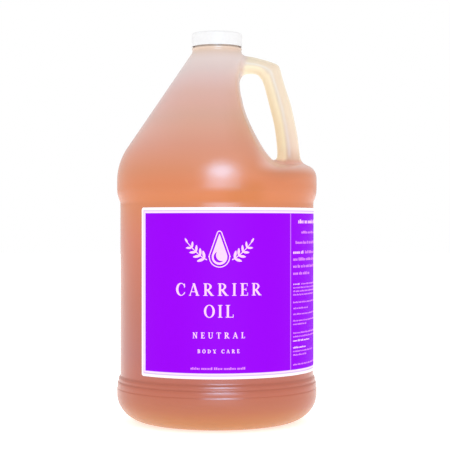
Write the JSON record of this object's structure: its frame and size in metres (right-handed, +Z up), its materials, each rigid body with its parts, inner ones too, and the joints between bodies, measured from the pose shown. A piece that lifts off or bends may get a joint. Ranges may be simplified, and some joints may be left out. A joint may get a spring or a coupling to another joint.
{
  "type": "gallon oil jug",
  "caption": "Round one-gallon translucent jug with a hollow pass-through handle, 38 mm screw cap, wrap label and amber oil inside.",
  "frame": {"origin": "centre of the standing ring, on the resting plane", "axes": "+Z up along the neck, +X towards the handle, -Y towards the front label panel"},
  "size_m": [0.1534, 0.1534, 0.2973],
  "materials": {
    "hdpe_natural": "translucent natural blow-moulded, satin",
    "cap_white": "white moulded, satin",
    "liner_foam": "white foam",
    "label_paper": "printed satin label",
    "oil_amber": "clear amber oil"
  },
  "bodies": {
    "jug": {"jug_body": "hdpe_natural", "wrap_label": "label_paper", "oil_fill": "oil_amber"},
    "liner": {"cap_liner": "liner_foam"},
    "cap": {"screw_cap": "cap_white"}
  },
  "joints": [
    {"name": "cap_lift", "type": "slide", "parent": "jug", "child": "liner", "axis": [0, 0, 1], "range_m": [0, 0.0128]},
    {"name": "cap_turn", "type": "hinge", "parent": "liner", "child": "cap", "pos_m": [0, 0, 0.29], "axis": [0, 0, 1], "range_deg": [0, 1080]}
  ],
  "couplings": [
    {"joint": "cap_lift", "follows": "cap_turn", "m_per_rad": 0.00067375}
  ]
}
